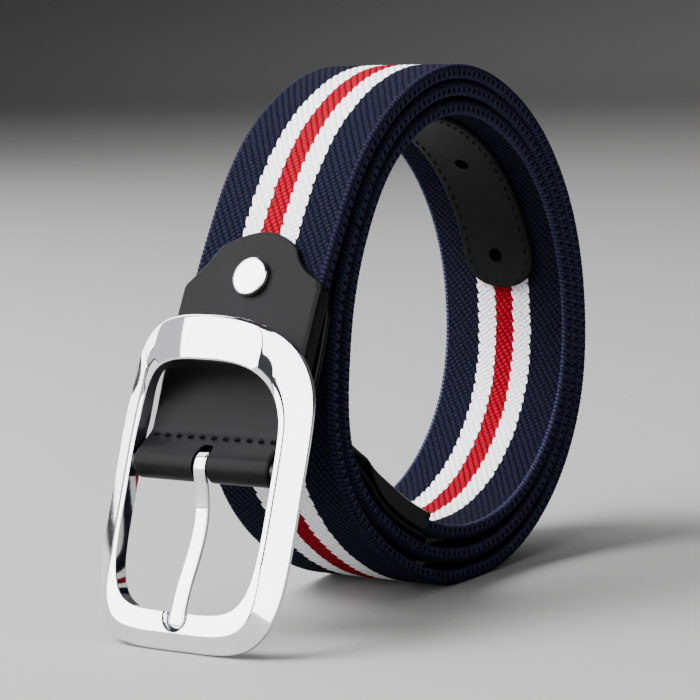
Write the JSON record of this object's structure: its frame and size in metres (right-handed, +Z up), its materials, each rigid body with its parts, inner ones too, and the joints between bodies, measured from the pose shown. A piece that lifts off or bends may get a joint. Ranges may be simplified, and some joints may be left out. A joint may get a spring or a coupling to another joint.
{
  "type": "coiled canvas web belt with pin buckle",
  "caption": "Striped canvas web belt rolled up on its edge like a wheel, with a leather buckle tab, a chrome frame buckle with a prong, a leather tip and a holed leather strip.",
  "frame": {"origin": "centre of the bounding box at floor level, under the standing coil", "axes": "+X across the web, -Y is the side where the buckle stands, +Z up"},
  "size_m": [0.0502, 0.1466, 0.1202],
  "materials": {
    "web": "ribbed twill webbing, dark navy with a white and red middle stripe",
    "leather": "matte black, softly rolled edges",
    "bright_metal": "mirror bright plating on a casting"
  },
  "bodies": {
    "belt": {"web": "web", "buckle_tab": "leather", "tab_rivet": "bright_metal", "tip_front": "leather", "tip_back": "leather", "hole_strip": "leather"},
    "frame": {"buckle_frame": "bright_metal"},
    "prong": {"prong": "bright_metal"}
  },
  "joints": [
    {"name": "frame_hinge", "type": "hinge", "parent": "belt", "child": "frame", "pos_m": [0, -0.05876, 0.03784], "axis": [1, 0, 0], "range_deg": [-5, 70]},
    {"name": "prong_hinge", "type": "hinge", "parent": "frame", "child": "prong", "pos_m": [0, -0.05876, 0.03784], "axis": [-1, 0, 0], "range_deg": [0, 115]}
  ]
}
